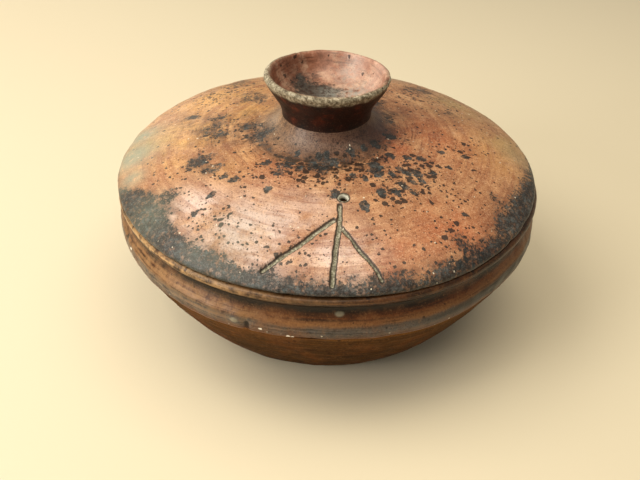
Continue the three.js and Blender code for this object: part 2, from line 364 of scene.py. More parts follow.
def lid_dust(points, radius, azimuth):
    """Pale dust in the incised lines and round the vent's mouth."""
    deep = cap_height(OUTER_CAP, np.minimum(radius, LID_RADIUS)) - points[:, 2]
    mouth = 1.7 * hump(away_from(points, VENT_RADIUS / MM, 0), VENT_HOLE, 0.7 * MM)
    mouth *= smooth(-deep, -4 * MM, -1.5 * MM)
    return np.maximum(line_cut(points), mouth) * (points[:, 2] > LID_EDGE)


def knob_shade(points, radius, azimuth):
    """0 where the knob's foot is palest, on its left, to 1 where it is darkest, on its right: painted light towards
    the lamps and painted shade away from them.
    """
    return 0.5 - 0.5 * np.cos(np.radians(azimuth + 105))


LID_FIELDS = {
    "soot": lid_soot,
    "blots": lambda points, radius, azimuth: patches(points, SOOT_BLOTS, 1.4),
    "smoke": lid_smoke,
    "dust": lid_dust,
    "knob_shade": knob_shade,
    "flecks": lambda points, radius, azimuth: 0.07 + 0.93 * patches(points, FLECK_PATCHES),
    "pink": lambda points, radius, azimuth: patches(points, PINK_PATCHES),
    "amber": lambda points, radius, azimuth: patches(points, AMBER_PATCHES),
    "rust": lambda points, radius, azimuth: patches(points, RUST_PATCHES),
    "olive": lambda points, radius, azimuth: patches(points, OLIVE_PATCHES),
    "bloom": lambda points, radius, azimuth: patches(points, BLOOM_PATCHES),
    "strokes": lambda points, radius, azimuth: 0.12 + patches(points, STROKE_PATCHES),
}


def crowded_azimuths(count, low, high, crowding):
    """Azimuths all round, closer together between low and high."""
    fine = np.linspace(-180, 180, 7201)
    weight = 1 + (crowding - 1) * smooth(fine, low - 6, low) * smooth(-fine, -high - 6, -high)
    along = np.append(0, np.cumsum(weight[:-1]))
    return np.interp(np.arange(count) / count * along[-1], along, fine)


def even_azimuths(count):
    return np.arange(count) * 360 / count


def vent_cutter():
    """A straight hole square to the lid's top, with a softly flared mouth."""
    reach, edge, rise = OUTER_CAP
    inside = 1 - (VENT_RADIUS / reach) ** 2
    slope = 2 * rise * CAP_FULLNESS * VENT_RADIUS / reach**2 * inside ** (CAP_FULLNESS - 1)
    flare_foot = VENT_HOLE, -1.2 * MM
    mouth = VENT_HOLE + 0.9 * MM
    outline = np.vstack([
        (0, -20 * MM),
        line((VENT_HOLE, -20 * MM), flare_foot, 30),
        bezier(flare_foot, (VENT_HOLE, -0.4 * MM), (mouth - 0.6 * MM, 0), (mouth, 0.7 * MM), 8)[1:],
        [(mouth, 3 * MM), (0, 3 * MM)],
    ])
    hole = Surface(outline, even_azimuths(40))
    mesh = hole.mesh("vent_cutter", 0.1 * MM * rolling(hole.points, 4 * MM, 35))
    tilt = Vector((0, 0, 1)).rotation_difference(Vector((0, -slope, 1))).to_matrix().to_4x4()
    mesh.transform(Matrix.Translation((0, -VENT_RADIUS, cap_height(OUTER_CAP, VENT_RADIUS))) @ tilt)
    return bpy.data.objects.new("vent_cutter", mesh)


def cut_away(mesh, cutter):
    """The mesh with the cutter's shape taken out of it."""
    whole = bpy.data.objects.new("whole", mesh)
    collection = bpy.context.scene.collection
    collection.objects.link(whole)
    collection.objects.link(cutter)
    cut = whole.modifiers.new("cut", "BOOLEAN")
    cut.object = cutter
    cut.operation = "DIFFERENCE"
    cut.solver = "MANIFOLD"
    drilled = bpy.data.meshes.new_from_object(whole.evaluated_get(bpy.context.evaluated_depsgraph_get()))
    drilled.materials.clear()
    for leftover in (whole, cutter):
        bpy.data.objects.remove(leftover)
    return drilled


def pits(surface, count, inner, outer, seed):
    """Small round pits, deep as a share of a millimetre, scattered over a ring of the plan."""
    random = np.random.default_rng(seed)
    depth = np.zeros(len(surface.points))
    for _ in range(count):
        place = math.sqrt(random.uniform(inner**2, outer**2)), random.uniform(-180, 180)
        size = random.uniform(0.7, 1.6) * MM
        depth += random.uniform(0.06, 0.28) * MM * hump(away_from(surface.points, *place), 0, size)
    return depth


def lid_relief(surface):
    top = smooth(surface.normals[:, 2], 0, 0.25)
    relief = hand_made(surface.points, 11)
    rings = np.sin(surface.radius * 2 * math.pi / (7.5 * MM) + 1.6 * rolling(surface.points, 45 * MM, 15))
    relief += 0.03 * MM * rings * (surface.radius > 30 * MM)
    relief -= LINE_DEPTH * line_cut(surface.points) * top
    chipped = np.maximum(rolling(surface.points, 8 * MM, 18) - 1.5, 0)
    relief -= 0.35 * MM * chipped * smooth(surface.radius, LID_RADIUS - 3 * MM, LID_RADIUS)
    return relief - pits(surface, 170, 45, 118, 19) * top


def lid_dome():
    low = LID_LOW.z
    turn_in = LID_RADIUS - 2.6 * MM
    outline = np.vstack([
        evenly([cap_outline(INNER_CAP)], 4 * MM),
        evenly([line((INNER_CAP[0], low), (turn_in, low))], 1.2 * MM)[1:],
        evenly([bezier(
            (turn_in, low), (LID_RADIUS - 0.9 * MM, low), (LID_RADIUS, low + 1 * MM), (LID_RADIUS, LID_EDGE),
        )], 0.5 * MM)[1:],
        evenly([cap_outline(OUTER_CAP)[::-1]], 0.85 * MM)[1:],
    ])
    surface = Surface(outline, crowded_azimuths(480, -25, 9, 3))
    mesh = cut_away(surface.mesh("lid_dome", lid_relief(surface)), vent_cutter())
    give(mesh, **LID_FIELDS)
    return mesh


def lid_flange():
    inner, outer, bottom = FLANGE_HIGH.x - 5.5 * MM, FLANGE_HIGH.x, FLANGE_LOW.z
    inner_top, outer_top = (cap_height(INNER_CAP, radius) + 0.4 * MM for radius in (inner, outer))
    outline = evenly([
        bezier((inner, bottom + 3 * MM), (inner, bottom), (inner, bottom), (inner + 2.4 * MM, bottom)),
        bezier((outer - 2.4 * MM, bottom), (outer, bottom), (outer, bottom), (outer, bottom + 3 * MM)),
        line((outer, bottom + 3 * MM), (outer, outer_top)),
        line((outer, outer_top), (inner, inner_top)),
        line((inner, inner_top), (inner, bottom + 3 * MM)),
    ], 0.9 * MM)
    surface = Surface(outline, even_azimuths(300))
    return surface.mesh("lid_flange", hand_made(surface.points, 21))


def set_askew(surface):
    """Sets a piece of the knob a little off the axis, with its lip higher in front and on the left."""
    points = surface.points
    lean = smooth(points[:, 2], KNOB_NECK_HEIGHT - 4 * MM, KNOB_TOP - 5 * MM)
    points[:, 2] += lean * (0.6 * MM - 0.011 * points[:, 0] - 0.028 * points[:, 1])
    points[:, 0] -= 1.05 * MM


def knob_luting_coil():
    hidden, foot, shoulder = KNOB_NECK - 1 * MM, COIL_FOOT + 1 * MM, KNOB_NECK_HEIGHT + 0.5 * MM
    under, over = cap_height(OUTER_CAP, hidden) - 1.5 * MM, cap_height(OUTER_CAP, foot)
    outline = evenly([
        line((hidden, under), (foot, over - 0.5 * MM)),
        bezier(
            (foot, over - 0.25 * MM), (foot - 9 * MM, over + 1.5 * MM),
            (KNOB_NECK + 1.5 * MM, over + 4 * MM), (KNOB_NECK - 0.3 * MM, shoulder), 40,
        ),
        line((KNOB_NECK - 0.3 * MM, shoulder), (hidden, shoulder)),
        line((hidden, shoulder), (hidden, under)),
    ], 0.75 * MM)
    surface = Surface(outline, even_azimuths(320))
    set_askew(surface)
    mesh = surface.mesh("knob_luting_coil", hand_made(surface.points, 11))
    give(mesh, **LID_FIELDS)
    return mesh


def knob_cup(lip):
    """The outline of the knob's cup, from the top of its lip in to its middle."""
    over_lip, in_lip = lip + (0, KNOB_LIP_ROUND), lip + (-2.6 * MM, -2 * MM)
    return evenly([
        bezier(over_lip, over_lip + (-1.4 * MM, 0), in_lip + (0.7 * MM, 2.4 * MM), in_lip),
        bezier(in_lip, in_lip + (-2 * MM, -6.5 * MM), (21 * MM, KNOB_CUP_FLOOR), (9 * MM, KNOB_CUP_FLOOR), 60),
        line((9 * MM, KNOB_CUP_FLOOR), (0, KNOB_CUP_FLOOR)),
    ], 0.7 * MM)


def flared_knob():
    middle, neck = (cap_height(OUTER_CAP, radius) - 1 * MM for radius in (0, KNOB_NECK))
    lip = np.array((KNOB_LIP - KNOB_LIP_ROUND, KNOB_TOP - KNOB_LIP_ROUND))
    under_lip = lip + (1.5 * MM, -1.8 * MM)
    cup = knob_cup(lip)
    outside = evenly([
        line((0, middle), (KNOB_NECK, neck)),
        line((KNOB_NECK, neck), (KNOB_NECK, KNOB_NECK_HEIGHT)),
        bezier(
            (KNOB_NECK, KNOB_NECK_HEIGHT), (KNOB_NECK, KNOB_NECK_HEIGHT + 7 * MM),
            lip + (-0.8 * MM, -8.5 * MM), under_lip, 40,
        ),
        bezier(under_lip, lip + (2.5 * MM, -0.7 * MM), lip + (2.3 * MM, 2 * MM), cup[0], 24),
    ], 0.7 * MM)
    surface = Surface(np.vstack([outside, cup[1:]]), even_azimuths(384))
    at_lip = smooth(surface.height, KNOB_TOP - 6 * MM, KNOB_TOP - 3 * MM)
    set_askew(surface)
    relief = hand_made(surface.points, 11)
    relief += at_lip * 0.06 * MM * rolling(surface.points, 9 * MM, 41)
    relief -= at_lip * 0.3 * MM * np.maximum(rolling(surface.points, 5 * MM, 42) - 1.3, 0)
    mesh = surface.mesh("flared_knob", relief)

    def in_cup(points, radius, azimuth):
        level = points[:, 2] + 0.028 * points[:, 1] * smooth(points[:, 2], KNOB_NECK_HEIGHT, KNOB_TOP)
        reach = np.maximum(np.interp(level, cup[::-1, 1], cup[::-1, 0]), 20 * MM)
        return 1.0 * ((level > KNOB_CUP_FLOOR - 2 * MM) & (radius < reach + 1.2 * MM))

    give(
        mesh,
        inside=in_cup,
        soot=lambda points, radius, azimuth: patches(points, CUP_SOOT),
        smoke=lambda points, radius, azimuth: patches(points, CUP_SMOKE),
        pink=lambda points, radius, azimuth: patches(points, CUP_PINK),
        bloom=lambda points, radius, azimuth: patches(points, CUP_BLOOM),
    )
    return mesh


def bowl_body():
    floor = [(0, FLOOR_THICKNESS), (FOOT_RADIUS - 4 * MM, FLOOR_THICKNESS)]
    join = JOIN_RADIUS, JOIN_HEIGHT
    outline = np.vstack([
        evenly([line((0, 0), (FOOT_RADIUS, 0))], 4 * MM),
        evenly([wall_outline((FOOT_RADIUS, 0), join)], 1.2 * MM)[1:],
        evenly([line(join, JOIN_INNER)], 2 * MM)[1:],
        evenly([wall_outline(floor[1], JOIN_INNER)[::-1]], 2.4 * MM)[1:],
        evenly([line(floor[1], floor[0])], 4 * MM)[1:],
    ])
    surface = Surface(outline, even_azimuths(480))
    standing = smooth(surface.height, 0, 6 * MM)
    relief = hand_made(surface.points, 51)
    scraped = np.sin(surface.height * 2 * math.pi / (5.5 * MM) + rolling(surface.points, 60 * MM, 55))
    relief += 0.05 * MM * scraped * smooth(-surface.height, -JOIN_HEIGHT, 8 * MM - JOIN_HEIGHT)
    return surface.mesh("bowl_body", relief * standing)


BAND_MARKS = [  # azimuth, height, width and tallness in millimetres, how far it stands out
    (-25, 67.2, 1.6, 3.2, -2), (-27.8, 69.5, 2.2, 1.6, 0.9), (-3.6, 78, 2.4, 1.5, 0.25),
    (-70, 72, 2, 3, -0.4), (38, 68, 2.5, 2, -0.4), (100, 69, 3, 2, -0.5), (-140, 70, 3, 2.5, -0.5),
]


BAND_CHIPS = [(-21.6, 67.2, 0.9), (-15.2, 64.8, 1), (-14.2, 64.6, 0.7), (-66, 70.5, 1)]  # azimuth, height, size


def band_mark(azimuth, height, mark):
    centre, level, width, tallness, _ = mark
    along = np.radians(angle_between(azimuth, centre)) * RIDGE_RADIUS
    return hump(along, 0, width * MM) * hump(height, level * MM, tallness * MM)


def shoulder_band():
    ridge, foot = RIDGE_RADIUS, JOIN_HEIGHT - 0.25 * MM
    start = JOIN_RADIUS - 0.7 * MM, foot
    lip = np.array((LIP_RADIUS, RIM_HEIGHT - LIP_ROUND))
    on_lip, in_lip = (lip[0] - 0.4 * MM, RIM_HEIGHT), (MOUTH_RADIUS + 2.2 * MM, RIM_HEIGHT)
    inner_foot = JOIN_INNER[0], JOIN_INNER[1] - 0.25 * MM
    outline = np.vstack([
        evenly([
            bezier(start, (ridge, foot), (ridge - 0.6 * MM, foot + 0.6 * MM), (ridge - 0.4 * MM, foot + 1.2 * MM)),
            bezier(
                (ridge - 0.4 * MM, foot + 1.2 * MM), (ridge + 0.1 * MM, foot + 2.5 * MM),
                (ridge + 0.2 * MM, foot + 6 * MM), (ridge - 0.6 * MM, foot + 8 * MM),
            ),
            bezier(
                (ridge - 0.6 * MM, foot + 8 * MM), (ridge - 1.6 * MM, foot + 9.5 * MM),
                (ridge - 5 * MM, RIM_HEIGHT - 10 * MM), (ridge - 4.6 * MM, RIM_HEIGHT - 7 * MM), 24,
            ),
            bezier(
                (ridge - 4.6 * MM, RIM_HEIGHT - 7 * MM), (ridge - 4.4 * MM, RIM_HEIGHT - 5.4 * MM),
                lip + (0.9 * MM, -1.8 * MM), lip + (1.6 * MM, -1.3 * MM), 16,
            ),
            bezier(lip + (1.6 * MM, -1.3 * MM), lip + (2.5 * MM, -0.4 * MM), lip + (2.2 * MM, 2.2 * MM), on_lip, 20),
        ], 0.5 * MM),
        evenly([line(on_lip, in_lip)], 0.9 * MM)[1:],
        evenly([
            bezier(
                in_lip, (MOUTH_RADIUS, RIM_HEIGHT),
                (MOUTH_RADIUS, RIM_HEIGHT - 2 * MM), (MOUTH_RADIUS + 0.3 * MM, RIM_HEIGHT - 5 * MM),
            ),
            bezier(
                (MOUTH_RADIUS + 0.3 * MM, RIM_HEIGHT - 5 * MM), (MOUTH_RADIUS + 2 * MM, RIM_HEIGHT - 14 * MM),
                (JOIN_INNER[0] + 2 * MM, JOIN_INNER[1] + 8 * MM), inner_foot,
            ),
        ], 1.4 * MM)[1:],
        evenly([line(inner_foot, start)], 2 * MM)[1:],
    ])
    surface = Surface(outline, even_azimuths(640))
    relief = hand_made(surface.points, 51)
    crest = hump(surface.height, JOIN_HEIGHT + 4 * MM, 2.6 * MM) * (surface.radius > MOUTH_RADIUS + 5 * MM)
    relief += crest * 0.12 * MM * rolling(surface.points, 10 * MM, 61)
    relief -= crest * 0.4 * MM * np.maximum(rolling(surface.points, 7 * MM, 62) - 1.5, 0)
    outside = surface.radius > MOUTH_RADIUS + 3.5 * MM
    for mark in BAND_MARKS:
        relief += mark[-1] * MM * band_mark(surface.azimuth, surface.height, mark) * outside
    mesh = surface.mesh("shoulder_band", relief)

    # Raised marks feed the pale field; dents feed the painted shade in them.
    def marks(points, azimuth, way):
        return sum(band_mark(azimuth, points[:, 2], mark) for mark in BAND_MARKS if mark[-1] * way > 0)

    def chips(points, radius, azimuth):
        return sum(band_mark(azimuth, points[:, 2], chip[:2] + chip[2:] * 2 + (1,)) for chip in BAND_CHIPS)

    # A painted highlight on the band's left, over lightly worn clay.
    def worn(points, radius, azimuth):
        crest, flare = hump(points[:, 2], 69 * MM, 2.5 * MM), hump(points[:, 2], 75 * MM, 3 * MM)
        lip = hump(points[:, 2], RIM_HEIGHT - 1.5 * MM, 2 * MM)
        return (0.3 * crest + 0.5 * flare + 1.2 * lip) * hump(angle_between(azimuth, -50), 0, 28)

    # Painted shade under the lip at the front and along the crest on the right.
    def smoky(points, azimuth):
        crest = hump(points[:, 2], JOIN_HEIGHT + 5 * MM, 4 * MM) * hump(angle_between(azimuth, 45), 0, 38)
        under_lip = hump(points[:, 2], RIM_HEIGHT - 7 * MM, 3.4 * MM) * hump(angle_between(azimuth, -6), 0, 56)
        return 0.85 * crest + 0.75 * under_lip

    give(
        mesh,
        inner=lambda points, radius, azimuth: 1.0 * (radius < MOUTH_RADIUS + 4 * MM),
        worn=worn,
        chips=chips,
        pale=lambda points, radius, azimuth: marks(points, azimuth, 1),
        dark=lambda points, radius, azimuth: marks(points, azimuth, -1) + smoky(points, azimuth),
    )
    return mesh


# Materials

def linear(hex_code, alpha=1):
    """A linear colour from an sRGB hex code."""
    shares = [int(hex_code[i : i + 2], 16) / 255 for i in (0, 2, 4)]
    return [s / 12.92 if s <= 0.04045 else ((s + 0.055) / 1.055) ** 2.4 for s in shares] + [alpha]


class Clay:
    """One clay's material. Each call adds nodes and returns their output; sizes are in millimetres."""

    def __init__(self, name, girth=None):
        """A wall's girth is the radius that it is unrolled at; without one, the surface is seen in plan."""
        self.material = bpy.data.materials.new(name)
        self.material.use_nodes = True
        self.tree = self.material.node_tree
        self.shader = self.tree.nodes["Principled BSDF"]
        self.normal = None
        here = self.node("TexCoord").outputs["Object"]
        self.place = self.node("VectorMath", {0: here, "Scale": 1 / MM}, operation="SCALE").outputs[0]
        east, north, self.height = self.node("SeparateXYZ", {0: self.place}).outputs
        flat = self.node("CombineXYZ", {0: east, 1: north}).outputs[0]
        self.radius = self.node("VectorMath", {0: flat}, operation="LENGTH").outputs["Value"]
        self.heading = self.node("VectorMath", {0: flat}, operation="NORMALIZE").outputs[0]
        self.sheet = self.place
        if girth:
            turn = self.math("ARCTAN2", east, self.both(north, -1))
            self.sheet = self.node("CombineXYZ", {0: self.both(turn, girth), 1: self.height}).outputs[0]

    def node(self, kind, inputs=None, **settings):
        made = self.tree.nodes.new("ShaderNode" + kind)
        for name, value in settings.items():
            setattr(made, name, value)
        for name, value in (inputs or {}).items():
            if isinstance(value, bpy.types.NodeSocket):
                self.tree.links.new(value, made.inputs[name])
            else:
                made.inputs[name].default_value = value
        return made

    def math(self, operation, *values):
        return self.node("Math", dict(enumerate(values)), operation=operation).outputs[0]

    def field(self, name):
        return self.node("Attribute", attribute_name=name).outputs["Fac"]

    def noise(self, size, detail=3, roughness=0.55, distortion=0, place=None):
        """Cloudy values round 0.5, with lumps about a size across."""
        inputs = {
            "Vector": place or self.place, "Scale": 1 / size, "Detail": detail,
            "Roughness": roughness, "Distortion": distortion,
        }
        return self.node("TexNoise", inputs).outputs[0]

    def streaks(self, across, degrees, along, detail=2):
        """Cloudy values drawn out round the axis: a streak is across wide along radius or height."""
        turned = self.node("VectorMath", {0: self.heading, "Scale": 57 / degrees}, operation="SCALE").outputs[0]
        lifted = self.node("CombineXYZ", {2: self.math("DIVIDE", along, across)}).outputs[0]
        place = self.node("VectorMath", {0: turned, 1: lifted}, operation="ADD").outputs[0]
        return self.noise(1, detail, place=place)

    def rise(self, value, low, high):
        """0 at low, 1 at high, with a smooth rise between."""
        inputs = {"Value": value, "From Min": low, "From Max": high}
        return self.node("MapRange", inputs, interpolation_type="SMOOTHSTEP").outputs["Result"]

    def between(self, value, low, high):
        """The value, from 0 to 1, stretched to run from low to high."""
        return self.node("MapRange", {"Value": value, "To Min": low, "To Max": high}).outputs["Result"]

    def both(self, first, second):
        return self.math("MULTIPLY", first, second)

    def weigh(self, *parts):
        """The sum of some values, each times its weight."""
        total = 0
        for value, weight in parts:
            total = self.node("Math", {0: value, 1: weight, 2: total}, operation="MULTIPLY_ADD").outputs[0]
        return total

    def mix(self, share, first, second, blend="MIX"):
        inputs = {0: share}
        for name, colour in ((6, first), (7, second)):
            inputs[name] = linear(colour) if isinstance(colour, str) else colour
        return self.node("Mix", inputs, data_type="RGBA", blend_type=blend).outputs[2]

    def tint(self, colour, share, towards, strength=1.0):
        """The colour, moved towards another one where the share is high."""
        return self.mix(self.both(share, strength), colour, towards)

    def ramp(self, value, *stops):
        """Colours by value, from stops of (place, sRGB hex)."""
        made = self.node("ValToRGB", {"Fac": value})
        points = made.color_ramp.elements
        points.remove(points[-1])
        points[0].position, points[0].color = stops[0][0], linear(stops[0][1])
        for place, colour in stops[1:]:
            points.new(place).color = linear(colour)
        return made.outputs["Color"]

    def specks(self, size, share, largest=0.4, smallest=0.12):
        """Small uneven spots, one to a cell, in about a share of the cells."""
        bent = self.node("TexNoise", {"Vector": self.place, "Scale": 1.4 / size, "Detail": 2}).outputs["Color"]
        bend = self.node("VectorMath", {0: bent, "Scale": 0.7 * size}, operation="SCALE").outputs[0]
        moved = self.node("VectorMath", {0: bend, 1: self.sheet}, operation="ADD").outputs[0]
        cells = self.node("TexVoronoi", {"Vector": moved, "Scale": 1 / size}, voronoi_dimensions="2D")
        chance = self.node("SeparateColor", {0: cells.outputs["Color"]}).outputs
        reach = self.between(self.math("POWER", chance[1], 1.5), smallest, largest)
        reach = self.both(self.math("LESS_THAN", chance[0], share), reach)
        return self.rise(self.math("SUBTRACT", cells.outputs["Distance"], reach), 0.03, -0.07)

    def covered(self, cover, noise, softness=0.02):
        """Where a patchy layer lies: it takes the share called cover of the surface."""
        level = self.between(cover, 0.28, 0.74)
        return self.rise(self.math("SUBTRACT", noise, level), softness, -softness)

    def bump(self, height, depth):
        """Adds fine relief: height 1 stands depth above height 0."""
        inputs = {"Height": height, "Distance": depth * MM, "Strength": 1.0}
        if self.normal:
            inputs["Normal"] = self.normal
        self.normal = self.node("Bump", inputs).outputs[0]

    def finish(self, colour, roughness, **settings):
        links = {"Base Color": colour, "Roughness": roughness, "Normal": self.normal}
        for name, value in links.items():
            self.tree.links.new(value, self.shader.inputs[name])
        for name, value in settings.items():
            self.shader.inputs[name.replace("_", " ").title().replace("Ior", "IOR")].default_value = value
        return self.material


def lid_clay(name):
    """Burnished clay in pink, amber and rust, with soot along the edge and in blots, and dusty lines; painted sheen
    on the front and far left, and painted light and shade round the knob's foot and in its shadow.
    """
    clay = Clay(name)
    cloudy = clay.noise(13, 5, 0.62)
    mottle = clay.noise(3, 4, 0.7)
    grain = clay.noise(0.8, 3, 0.7)
    burnish = clay.streaks(1.3, 22, clay.radius, 4)
    colour = clay.ramp(cloudy, (0.32, "8f5f3f"), (0.5, "ae7b54"), (0.68, "cb9c71"))
    # The pink and olive tints are partly painted sheen; the rust field also carries painted shade.
    for field, towards in (("pink", "ebd8d2"), ("amber", "dba65c"), ("rust", "ae5a30"), ("olive", "a58f5c")):
        share = clay.both(clay.field(field), clay.rise(clay.noise(20, 5, 0.65), 0.3, 0.58))
        colour = clay.tint(colour, share, towards, 0.85)
    colour = clay.tint(colour, clay.rise(burnish, 0.52, 0.75), "7c4225", 0.35)
    colour = clay.tint(colour, clay.rise(burnish, 0.48, 0.3), "e0b184", 0.15)
    arcs = clay.streaks(5, 40, clay.radius, 4)
    colour = clay.tint(colour, clay.rise(arcs, 0.5, 0.64), "8d4e2e", 0.4)
    strokes = clay.both(clay.rise(clay.streaks(1.8, 18, clay.radius, 3), 0.5, 0.62), clay.field("strokes"))
    colour = clay.tint(colour, strokes, "5c2a1a", 0.7)
    colour = clay.tint(colour, clay.rise(mottle, 0.54, 0.68), "74411f", 0.4)
    colour = clay.tint(colour, clay.rise(mottle, 0.46, 0.34), "e4ba92", 0.25)
    colour = clay.tint(colour, clay.rise(grain, 0.54, 0.68), "5f341f", 0.55)
    colour = clay.tint(colour, clay.rise(grain, 0.46, 0.32), "efcaa6", 0.4)

    # The knob's foot in grey-purple clay, painted pale on its left and dark on its right as light and shade.
    foot_level = clay.weigh((clay.radius, 1), (mottle, 8), (cloudy, 14))
    near_knob = clay.rise(foot_level, COIL_FOOT / MM + 13, COIL_FOOT / MM + 1)
    shade = clay.weigh((clay.field("knob_shade"), 0.65), (cloudy, 0.3), (mottle, 0.3))
    foot = clay.ramp(shade, (0.28, "9a7958"), (0.48, "6f5a4d"), (0.7, "664a3e"), (0.9, "38221a"))
    colour = clay.tint(colour, near_knob, foot, 0.85)
    colour = clay.tint(colour, clay.rise(grain, 0.5, 0.64), "2e1b14", clay.both(near_knob, 0.8))
    colour = clay.tint(colour, clay.rise(mottle, 0.5, 0.66), "2b1a14", clay.both(near_knob, 0.5))
    wisps = clay.weigh((clay.noise(6, 5, 0.7, 0.5), 0.6), (arcs, 0.4))
    # Thin smoke, and the knob's painted shadow on its right.
    colour = clay.tint(colour, clay.both(clay.field("smoke"), clay.rise(wisps, 0.38, 0.58)), "37291e", 0.75)

    ragged, grainy = clay.noise(8, 6, 0.7, 0.6), clay.noise(1.5, 3, 0.7)
    patchy = clay.weigh((ragged, 0.6), (grainy, 0.45), (grain, 0.35))
    patchy = clay.math("SUBTRACT", patchy, 0.2)
    lumpy = clay.math("ADD", clay.weigh((clay.noise(3, 2), 0.5), (grainy, 0.2)), 0.15)
    blots = clay.covered(clay.field("blots"), lumpy, 0.03)
    soot = clay.math("MAXIMUM", clay.covered(clay.field("soot"), patchy, 0.06), blots)
    crowding = clay.both(clay.field("flecks"), clay.rise(clay.noise(9, 3), 0.32, 0.5))
    large = clay.specks(4.3, clay.rise(crowding, 0.25, 0.75), 0.46, 0.24)
    flecks = clay.math("MAXIMUM", large, clay.specks(2.2, crowding, 0.46))
    pepper = clay.specks(1.2, clay.between(clay.field("flecks"), 0.1, 0.5))
    soot_colour = clay.ramp(clay.noise(4, 6, 0.8), (0.38, "040607"), (0.5, "141a1c"), (0.62, "465052"))
    colour = clay.tint(colour, pepper, "54301d", 0.6)
    colour = clay.tint(colour, clay.rise(flecks, 0, 0.5), clay.ramp(flecks, (0.3, "5c3521"), (0.9, "1c120d")), 0.9)
    soot_colour = clay.tint(soot_colour, clay.rise(grain, 0.52, 0.66), "8f8d88", 0.3)
    soot_colour = clay.tint(soot_colour, clay.rise(grain, 0.47, 0.36), "020303", 0.5)
    # Soot darkened on the right as painted shade; its paler slate tones elsewhere stand partly for a painted sheen.
    soot_colour = clay.tint(soot_colour, clay.field("rust"), "080a0a", 0.65)
    thick = clay.between(clay.rise(clay.noise(2.2, 4, 0.7), 0.5, 0.64), 0.95, 0.6)
    colour = clay.tint(colour, soot, soot_colour, thick)
    # Painted sheen: a pale grey-green reflection over clay and soot.
    bloom = clay.both(clay.field("bloom"), clay.rise(mottle, 0.24, 0.5))
    colour = clay.tint(colour, bloom, "828d7b", 0.85)

    dust = clay.weigh((clay.field("dust"), 1), (grainy, clay.both(clay.field("dust"), 0.5)))
    dust_colour = clay.ramp(clay.noise(1.2, 3, 0.7), (0.36, "55523f"), (0.5, "827e6a"), (0.64, "b9b5a1"))
    colour = clay.tint(colour, clay.rise(dust, 0.02, 0.2), "241f18", 0.9)
    colour = clay.tint(colour, clay.rise(dust, 0.62, 1.1), dust_colour, 0.95)
    colour = clay.tint(colour, clay.rise(dust, 1.4, 1.9), "dad7c8", 0.9)
    colour = clay.tint(colour, clay.specks(1.8, 0.012, 0.3), "d6cbb6")

    clay.bump(clay.streaks(0.7, 20, clay.radius, 3), 0.05)
    clay.bump(mottle, 0.18)
    clay.bump(grain, 0.16)
    clay.bump(clay.math("MAXIMUM", flecks, soot), -0.06)
    roughness = clay.math("ADD", clay.between(soot, 0.4, 0.52), clay.between(mottle, -0.22, 0.22))
    roughness = clay.math("ADD", roughness, clay.both(clay.rise(dust, 0.1, 0.5), 0.35))
    return clay.finish(colour, roughness, specular_ior_level=0.4, coat_weight=0.12, coat_roughness=0.35)


def pot_clay(name, dullest, shine, *stops):
    """Smoked brown clay, streaked round the pot, coloured by height in millimetres; on the band, a painted highlight
    on the left and painted shade in dents, under the lip and on the crest.
    """
    clay = Clay(name, RIDGE_RADIUS / MM)
    low, high = stops[0][0], stops[-1][0]
    wander = clay.both(clay.math("SUBTRACT", clay.noise(14, 4, 0.6), 0.5), 3)
    level = clay.math("ADD", clay.height, wander)
    share = clay.node("MapRange", {"Value": level, "From Min": low, "From Max": high}).outputs["Result"]
    colour = clay.ramp(share, *[((height - low) / (high - low), hex_code) for height, hex_code in stops])
    colour = clay.tint(colour, clay.field("inner"), "4d2c14")
    streak = clay.streaks(1.3, 25, clay.height, 4)
    mottle = clay.noise(4, 5, 0.7)
    grain = clay.noise(0.9, 3, 0.7)
    colour = clay.tint(colour, clay.rise(streak, 0.5, 0.68), "160b04", 0.7)
    colour = clay.tint(colour, clay.rise(streak, 0.48, 0.32), "9a6230", 0.22)
    colour = clay.tint(colour, clay.rise(clay.noise(24, 4, 0.65), 0.48, 0.66), "6b3f1f", 0.5)
    colour = clay.tint(colour, clay.rise(mottle, 0.53, 0.68), "140b06", 0.45)
    colour = clay.tint(colour, clay.rise(mottle, 0.46, 0.34), "94663c", 0.2)
    colour = clay.tint(colour, clay.rise(grain, 0.54, 0.7), "120a05", 0.55)
    colour = clay.tint(colour, clay.rise(grain, 0.46, 0.3), "a87c50", 0.25)
    # A painted highlight on the band's left, over lightly worn clay.
    worn = clay.both(clay.field("worn"), clay.rise(clay.weigh((streak, 0.4), (mottle, 0.6)), 0.62, 0.42))
    colour = clay.tint(colour, worn, "c49c6b", 0.8)
    colour = clay.tint(colour, clay.specks(3.2, 0.05, 0.35), "1a110c", 0.7)
    off_ridge = clay.math("ABSOLUTE", clay.math("SUBTRACT", clay.height, 66))
    chips = clay.both(clay.specks(2.2, 0.05, 0.32), clay.rise(off_ridge, 2, 0.5))
    colour = clay.tint(colour, chips, "cfc4ae")
    colour = clay.tint(colour, clay.rise(clay.field("chips"), 0.3, 0.6), "ece6d8")
    colour = clay.tint(colour, clay.rise(clay.field("pale"), 0.2, 0.7), "9a937c", 0.6)
    # Painted shade: darkened dents, the groove under the lip in front and the crest on the right.
    colour = clay.tint(colour, clay.rise(clay.field("dark"), 0.3, 0.8), "120c08", 0.85)
    clay.bump(clay.streaks(0.9, 30, clay.height, 3), 0.1)
    clay.bump(mottle, 0.12)
    clay.bump(grain, 0.1)
    roughness = clay.between(clay.noise(6, 4), dullest - 0.22, dullest)
    return clay.finish(colour, roughness, specular_ior_level=shine)


def flange_clay():
    clay = Clay("flange_clay")
    grain = clay.noise(1.2, 4, 0.65)
    colour = clay.ramp(clay.noise(12, 4, 0.6), (0.3, "6f4630"), (0.7, "946847"))
    colour = clay.tint(colour, clay.rise(grain, 0.55, 0.7), "54361f", 0.8)
    clay.bump(grain, 0.12)
    return clay.finish(colour, clay.between(grain, 0.65, 0.85))


